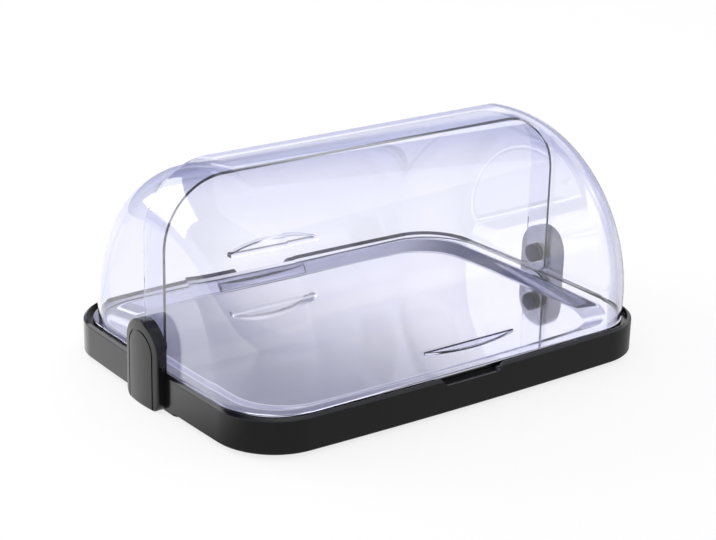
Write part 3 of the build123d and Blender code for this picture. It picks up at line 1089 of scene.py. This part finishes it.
@dataclass
class FrontCover(RollCover):
    """The outer cover, with its crescent lip."""

    node: str = "front_cover"
    piece: str = "front_roll_cover"
    body: Body = Body.FRONT_COVER
    side: Side = Side.FRONT
    radius: float = 153.0
    half_length: float = 214.9
    end_radius: float = 62.0
    lip_rise: float = 7.0
    lip_length: float = 96.0
    lip_reach: float = 7.8
    lip_end_reach: float = 1.5
    lip_thickness: float = 3.0
    lip_slope: float = 12.0
    lip_root: float = 1.2
    lip_nose: float = 1.1
    lip_steps: int = 40
    nose_steps: int = 5

    def make(self) -> None:
        """Builds the cover."""
        item = self.shell()
        self.shop.carve(item, self.lip(), Cut.JOIN)
        self.finish(item)

    def lip_section(self, reach: float) -> list[tuple[float, float]]:
        """Draws the lip's section at one place along it.

        Args:
            reach: how far out the lip comes there.

        Returns:
            Distances out and heights in millimetres.
        """
        half = self.lip_thickness / 2
        nose = min(self.lip_nose, half)
        quarter = spaced(0.0, math.pi / 2, self.nose_steps)
        points = [(-self.lip_root, half)]
        for angle in quarter:
            points.append((reach - nose + nose * math.sin(angle), half - nose + nose * math.cos(angle)))
        for angle in quarter:
            points.append((reach - nose + nose * math.cos(angle), -half + nose - nose * math.sin(angle)))
        return points + [(-self.lip_root, -half)]

    def lip(self) -> Object:
        """Builds the crescent ledge.

        Returns:
            The ledge as a closed solid.
        """
        half = self.lip_length / 2
        bulge = self.lip_reach - self.lip_end_reach
        arc = (half**2 + bulge**2) / (2 * bulge)
        height = self.rule.pivot_height + self.lip_rise
        wall = self.wall_distance(height)
        slope = math.radians(self.lip_slope)
        vertices = []
        for x in spaced(-half, half, self.lip_steps):
            reach = math.sqrt(arc**2 - x**2) - (arc - self.lip_reach)
            for out, rise in self.lip_section(reach):
                y = out * math.cos(slope) + rise * math.sin(slope)
                z = rise * math.cos(slope) - out * math.sin(slope)
                vertices.append((mm(x), mm(self.side.value * (wall + y)), mm(height + z)))
        count = len(self.lip_section(self.lip_reach))
        faces = [tuple(range(count)), tuple(range(len(vertices) - count, len(vertices)))]
        return self.shop.new_piece("lip", vertices, faces + band(self.lip_steps + 1, count))


@dataclass
class RearCover(RollCover):
    """The inner cover, with the finger scoop pressed into it."""

    node: str = "rear_cover"
    piece: str = "rear_roll_cover"
    body: Body = Body.REAR_COVER
    side: Side = Side.REAR
    radius: float = 145.0
    half_length: float = 211.6
    end_radius: float = 58.5
    scoop_sill_rise: float = 6.0
    scoop_length: float = 96.0
    scoop_crest_rise: float = 8.0
    scoop_depth: float = 7.0
    scoop_steps: int = 40

    def make(self) -> None:
        """Builds the cover."""
        item = self.shell()
        back = self.radius - self.scoop_depth
        middle_of_wall = self.wall_distance(self.rule.pivot_height + self.scoop_sill_rise) - self.wall / 2
        beyond = self.radius + self.scoop_depth
        self.shop.carve(item, self.arch(self.wall, back - self.wall, middle_of_wall), Cut.JOIN)
        self.shop.carve(item, self.arch(0.0, back, beyond), Cut.TAKE_AWAY)
        self.finish(item)

    def arch(self, grow: float, near: float, far: float) -> Object:
        """Builds the scoop's arched outline between two distances from the middle.

        Args:
            grow: how much larger than the scoop it is all round.
            near: the nearer distance.
            far: the farther distance.

        Returns:
            The arch as a closed solid.
        """
        half = self.scoop_length / 2 + grow
        sill = self.rule.pivot_height + self.scoop_sill_rise - grow
        shoulder = sill + self.wall / 2 + grow
        crest = self.rule.pivot_height + self.scoop_sill_rise + self.scoop_crest_rise + grow
        rise = crest - shoulder
        arc = (half**2 + rise**2) / (2 * rise)
        outline = [(-half, sill), (half, sill)]
        for x in spaced(half, -half, self.scoop_steps):
            outline.append((x, crest - arc + math.sqrt(arc**2 - x**2)))
        vertices = []
        for distance in (near, far):
            vertices += [(mm(x), mm(self.side.value * distance), mm(z)) for x, z in outline]
        count = len(outline)
        faces = [tuple(range(count)), tuple(range(count, 2 * count))]
        return self.shop.new_piece("arch", vertices, faces + band(2, count))


@dataclass(frozen=True)
class Viewpoint:
    """Where the photograph was taken from, as fitted to the object's edges.

    The focal length and the centre are in pixels of the picture.
    """

    place: tuple[float, float, float] = (-934.1, -1228.6, 640.9)
    heading: float = 35.33
    tilt: float = 19.89
    roll: float = 0.835
    focal_px: float = 1833.0
    centre_px: tuple[float, float] = (302.5, 261.4)
    sensor: float = 36.0
    nearest: float = 50.0
    farthest: float = 50000.0

    def make(self) -> None:
        """Places the camera."""
        heading, tilt, roll = (math.radians(angle) for angle in (self.heading, self.tilt, self.roll))
        forward = math.cos(tilt)
        ahead = Vector((math.sin(heading) * forward, math.cos(heading) * forward, -math.sin(tilt)))
        level = Vector((math.cos(heading), -math.sin(heading), 0.0))
        upright = level.cross(ahead)
        across = math.cos(roll) * level + math.sin(roll) * upright
        upwards = across.cross(ahead)
        turn = Matrix((across, upwards, -ahead)).transposed()
        data = bpy.data.cameras.new("photo_camera")
        data.sensor_width = self.sensor
        data.lens = self.focal_px * self.sensor / PHOTO_WIDTH_PX
        data.shift_x = (PHOTO_WIDTH_PX / 2 - self.centre_px[0]) / PHOTO_WIDTH_PX
        data.shift_y = (self.centre_px[1] - PHOTO_HEIGHT_PX / 2) / PHOTO_WIDTH_PX
        data.clip_start = mm(self.nearest)
        data.clip_end = mm(self.farthest)
        camera = put_in_scene("photo_camera", data)
        camera.matrix_world = Matrix.Translation(Vector([mm(part) for part in self.place])) @ turn.to_4x4()
        bpy.context.scene.camera = camera


@dataclass(frozen=True)
class SoftBox:
    """A rectangular studio light, with its place and aim in millimetres and its power in watts."""

    name: str
    place: tuple[float, float, float]
    aim: tuple[float, float, float]
    width: float
    height: float
    power: float

    def make(self) -> None:
        """Hangs the light and points it."""
        data = bpy.data.lights.new(self.name, "AREA")
        data.shape = "RECTANGLE"
        data.size = mm(self.width)
        data.size_y = mm(self.height)
        data.energy = self.power
        lamp = put_in_scene(self.name, data)
        place = Vector([mm(part) for part in self.place])
        towards = Vector([mm(part) for part in self.aim]) - place
        lamp.location = place
        lamp.rotation_euler = towards.to_track_quat("-Z", "Y").to_euler()


WINDOW_BOX = SoftBox("window_box", (-926.0, 1162.0, 786.0), (-200.0, 0.0, 176.0), 1200.0, 860.0, power=9.0)
OVERHEAD_BOX = SoftBox("overhead_box", (300.0, 200.0, 2400.0), (0.0, 0.0, 80.0), 2400.0, 2400.0, power=7.0)
STRIP_BOX = SoftBox("strip_box", (1360.0, 1430.0, 1540.0), (0.0, -100.0, 60.0), 1500.0, 160.0, power=1.0)


@dataclass(frozen=True)
class Studio:
    """A white sweep, soft light all round and three soft boxes.

    Gloss and glass see a bright backdrop low down and a dimmer sky above it. Gloss alone sees painted light
    on the floor towards the back left and painted shade towards the front right, in place of a pool of lamp
    light and the object's shadow. Beside the object all is white. The shadow share is how much of the floor is
    lit paper, which takes the shadow. Starts, ends and tops in the surroundings are parts of a direction's
    length, and depths and edges on the floor are millimetres.
    """

    floor_size: float = 12000.0
    floor_colour: str = "#f4f4f4"
    floor_turn: float = 54.7
    world_strength: float = 0.75
    overhead_colour: str = "#353a60"
    side_colour: str = "#a4a6b4"
    front_colour: str = "#eceefa"
    horizon_colour: str = "#c4c6dc"
    horizon_start: float = 0.2
    horizon_end: float = 0.3
    far_colour: str = "#dcdef4"
    near_depth: float = 500.0
    far_depth: float = 850.0
    open_strength: float = 1.06
    through_strength: float = 1.16
    backdrop_strength: float = 1.25
    backdrop_left_top: float = 0.25
    backdrop_right_top: float = 0.505
    backdrop_blur: float = 0.05
    left_edge: float = 0.3
    right_edge: float = 0.8
    side_start: float = 0.2
    side_full: float = 0.5
    front_start: float = 0.45
    front_full: float = -0.3
    shadow_share: float = 0.25
    # Painted light and painted shade on the floor for gloss: their strengths, and the edges in millimetres
    # where one turns to the other
    painted_light_floor: float = 1.35
    painted_shade_floor: float = 0.37
    painted_light_edge: float = -165.0
    painted_shade_edge: float = -25.0

    def make(self) -> None:
        """Builds the floor, the surroundings and the lights."""
        self.make_floor()
        self.make_world()
        for box in (WINDOW_BOX, OVERHEAD_BOX, STRIP_BOX):
            box.make()
        bpy.context.scene.view_settings.view_transform = "Standard"

    def make_floor(self) -> None:
        """Lays the floor and gives it its paper."""
        half = mm(self.floor_size) / 2
        mesh = bpy.data.meshes.new("studio_floor")
        corners = [(-half, -half, 0), (half, -half, 0), (half, half, 0), (-half, half, 0)]
        mesh.from_pydata(corners, [], [(0, 1, 2, 3)])
        mesh.materials.append(self.make_paper())
        floor = put_in_scene("studio_floor", mesh)

    def make_paper(self) -> Material:
        """Makes the floor's paper: white with the object's shadow, with painted light and painted shade for
        gloss.

        Returns:
            The paper's material.
        """
        material = bpy.data.materials.new("white_sweep")
        tree = fresh_tree(material)
        rays = add_node(tree, "ShaderNodeLightPath").outputs
        seen_through = rays["Is Transmission Ray"]
        where = add_node(tree, "ShaderNodeTexCoord").outputs["Object"]
        turn = math.radians(self.floor_turn)
        across, depth = (
            add_node(
                tree,
                "ShaderNodeVectorMath",
                {0: where, 1: (math.cos(turn), sideways * math.sin(turn), 0.0)},
                operation="DOT_PRODUCT",
            )
            for sideways in (-1.0, 1.0)
        )
        shade, far = (
            add_node(
                tree,
                MAP_RANGE,
                {"Value": value, "From Min": mm(start), "From Max": mm(end), "To Min": low, "To Max": high},
                interpolation_type="SMOOTHSTEP",
            )
            for value, start, end, low, high in (
                (across, self.painted_light_edge, self.painted_shade_edge, self.painted_light_floor, self.painted_shade_floor),
                (depth, self.near_depth, self.far_depth, 0.0, 1.0),
            )
        )
        # The glow that gloss sees: painted light towards the back left, painted shade towards the front right
        mirrored = add_node(tree, "ShaderNodeEmission", {"Strength": shade})
        sweep = add_node(
            tree, MIX, {"Factor": far, "A": WHITE, "B": linear(self.far_colour)}, data_type="RGBA"
        )
        backed = add_node(tree, MIX, {"Factor": seen_through, "A": WHITE, "B": sweep}, data_type="RGBA")
        strength = add_node(
            tree,
            MAP_RANGE,
            {"Value": seen_through, "To Min": self.open_strength, "To Max": self.through_strength},
        )
        white = add_node(tree, "ShaderNodeEmission", {"Color": backed, "Strength": strength})
        paper = add_node(tree, "ShaderNodeBsdfDiffuse", {"Color": linear(self.floor_colour)})
        seen = add_node(tree, MATH, {0: rays["Is Camera Ray"], 1: seen_through}, operation="MAXIMUM")
        glow = add_node(tree, MATH, {0: seen, 1: 1.0 - self.shadow_share}, operation="MULTIPLY")
        lit = add_node(tree, "ShaderNodeMixShader", {0: glow, 1: paper, 2: white})
        # Rays through clear plastic count as glossy too, so they are taken off
        by_gloss = add_node(
            tree, MATH, {0: rays["Is Glossy Ray"], 1: seen_through}, operation="SUBTRACT", use_clamp=True
        )
        mixed = add_node(tree, "ShaderNodeMixShader", {0: by_gloss, 1: lit, 2: mirrored})
        add_node(tree, "ShaderNodeOutputMaterial", {"Surface": mixed})
        return material

    def make_world(self) -> None:
        """Makes the surroundings: even soft light, with a backdrop and a sky for gloss and glass."""
        world = bpy.data.worlds.new("white_surroundings")
        bpy.context.scene.world = world
        tree = fresh_tree(world)
        rays = add_node(tree, "ShaderNodeLightPath").outputs
        where = add_node(tree, "ShaderNodeTexCoord").outputs["Generated"]
        way = add_node(tree, "ShaderNodeSeparateXYZ", {0: where}).outputs
        top = add_node(
            tree,
            MAP_RANGE,
            {
                "Value": way["X"],
                "From Min": self.left_edge,
                "From Max": self.right_edge,
                "To Min": self.backdrop_left_top,
                "To Max": self.backdrop_right_top,
            },
        )
        above = add_node(tree, MATH, {0: way["Z"], 1: top}, operation="SUBTRACT")
        sideways, forwards, risen, past_top = (
            add_node(
                tree,
                MAP_RANGE,
                {"Value": value, "From Min": start, "From Max": end},
                interpolation_type="SMOOTHSTEP",
            )
            for value, start, end in (
                (way["X"], self.side_start, self.side_full),
                (way["Y"], self.front_start, self.front_full),
                (way["Z"], self.horizon_start, self.horizon_end),
                (above, -self.backdrop_blur, self.backdrop_blur),
            )
        )
        backdrop = (self.backdrop_strength,) * 3 + (1.0,)
        shown = add_node(
            tree, MATH, {0: rays["Is Glossy Ray"], 1: rays["Is Transmission Ray"]}, operation="MAXIMUM"
        )
        even = add_node(tree, MAP_RANGE, {"Value": rays["Is Camera Ray"], "To Min": self.world_strength})
        tones = {
            "even": even,
            "horizon": linear(self.horizon_colour),
            "backdrop": backdrop,
            "overhead": linear(self.overhead_colour),
            "side": linear(self.side_colour),
            "front": linear(self.front_colour),
        }
        for name, share, under, over in (
            ("upper", sideways, "overhead", "side"),
            ("sky", forwards, "upper", "front"),
            ("low", risen, "horizon", "backdrop"),
            ("mirrored", past_top, "low", "sky"),
            ("light", shown, "even", "mirrored"),
        ):
            tones[name] = add_node(
                tree, MIX, {"Factor": share, "A": tones[under], "B": tones[over]}, data_type="RGBA"
            )
        surroundings = add_node(tree, "ShaderNodeBackground", {"Color": tones["light"], "Strength": 1.0})
        add_node(tree, "ShaderNodeOutputWorld", {"Surface": surroundings})


def main() -> None:
    """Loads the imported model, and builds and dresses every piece."""
    bpy.ops.object.select_all(action="SELECT")
    bpy.ops.object.delete()
    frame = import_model()
    shop = Workshop(frame)
    BaseUnit(shop).make()
    SteelTray(shop).make()
    FrontCover(shop).make()
    RearCover(shop).make()
    Viewpoint().make()
    Studio().make()


if __name__ == "__main__":
    main()
